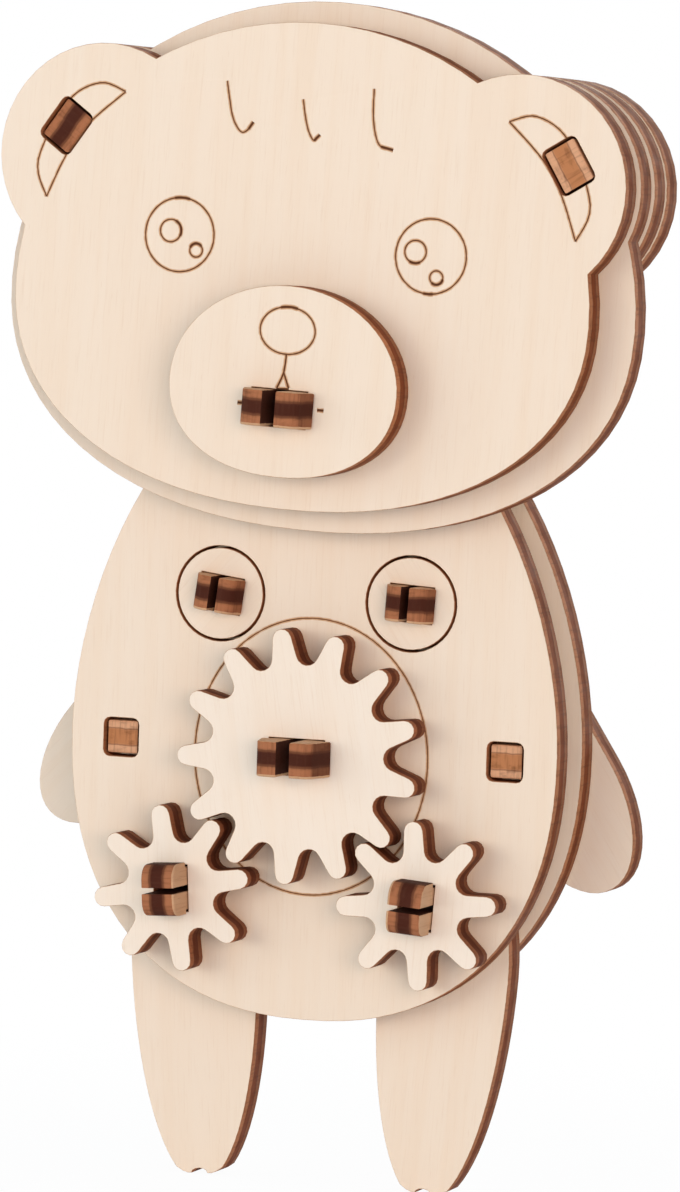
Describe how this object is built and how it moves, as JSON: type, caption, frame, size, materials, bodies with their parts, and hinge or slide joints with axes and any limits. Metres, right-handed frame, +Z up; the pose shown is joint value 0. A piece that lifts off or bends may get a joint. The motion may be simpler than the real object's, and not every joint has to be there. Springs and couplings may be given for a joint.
{
  "type": "wooden mechanical puzzle",
  "caption": "Flat plywood bear cub toy with belly gears that swing its legs, arms that turn at the shoulders and a head that tilts, all held by split wooden snap pins.",
  "frame": {"origin": "on the large gear's axis, on the front face of the body's front plate, which is where the toy is gripped between finger and thumb", "axes": "-Y towards the viewer, out of the bear's face and gears; +Z up, from the feet to the head; +X to the viewer's right"},
  "size_m": [0.0554, 0.0267, 0.0959],
  "materials": {
    "veneer": "unvarnished birch plywood, matt",
    "scorched_edge": "plywood edge browned by the laser, matt"
  },
  "bodies": {
    "body": {"body_front_plate": "veneer", "body_back_plate": "veneer", "spacer_peg_left": "scorched_edge", "spacer_peg_right": "scorched_edge"},
    "drive_gear": {"gear_large": "veneer", "gear_large_pin": "scorched_edge"},
    "left_leg": {"gear_small_left": "veneer", "leg_pin_left": "scorched_edge", "leg_left": "veneer"},
    "right_leg": {"gear_small_right": "veneer", "leg_pin_right": "scorched_edge", "leg_right": "veneer"},
    "left_arm": {"arm_left": "veneer", "shoulder_pin_left": "scorched_edge", "shoulder_disc_left": "veneer"},
    "right_arm": {"arm_right": "veneer", "shoulder_pin_right": "scorched_edge", "shoulder_disc_right": "veneer"},
    "head": {"muzzle_plate": "veneer", "face_plate": "veneer", "head_plate": "veneer", "ear_spacer_left": "veneer", "ear_spacer_right": "veneer", "head_back_plate": "veneer", "ear_peg_left": "scorched_edge", "ear_peg_right": "scorched_edge", "muzzle_pin": "scorched_edge"}
  },
  "joints": [
    {"name": "drive_gear_turn", "type": "hinge", "parent": "body", "child": "drive_gear", "pos_m": [0, 0, 0], "axis": [0, -1, 0], "range_deg": [-40, 40]},
    {"name": "left_leg_swing", "type": "hinge", "parent": "body", "child": "left_leg", "pos_m": [-0.01056, 0, -0.0113], "axis": [0, -1, 0], "range_deg": [-66, 66]},
    {"name": "right_leg_swing", "type": "hinge", "parent": "body", "child": "right_leg", "pos_m": [0.01056, 0, -0.0113], "axis": [0, -1, 0], "range_deg": [-66, 66]},
    {"name": "left_arm_swing", "type": "hinge", "parent": "body", "child": "left_arm", "pos_m": [-0.00824, 0, 0.01262], "axis": [0, 1, 0], "range_deg": [-14, 97]},
    {"name": "right_arm_swing", "type": "hinge", "parent": "body", "child": "right_arm", "pos_m": [0.00824, 0, 0.01262], "axis": [0, -1, 0], "range_deg": [-3, 108]},
    {"name": "head_tilt", "type": "hinge", "parent": "body", "child": "head", "pos_m": [0, 0, 0.02815], "axis": [0, -1, 0], "range_deg": [-15, 21]}
  ],
  "couplings": [
    {"joint": "left_leg_swing", "follows": "drive_gear_turn", "ratio": -1.625},
    {"joint": "right_leg_swing", "follows": "drive_gear_turn", "ratio": -1.625}
  ]
}
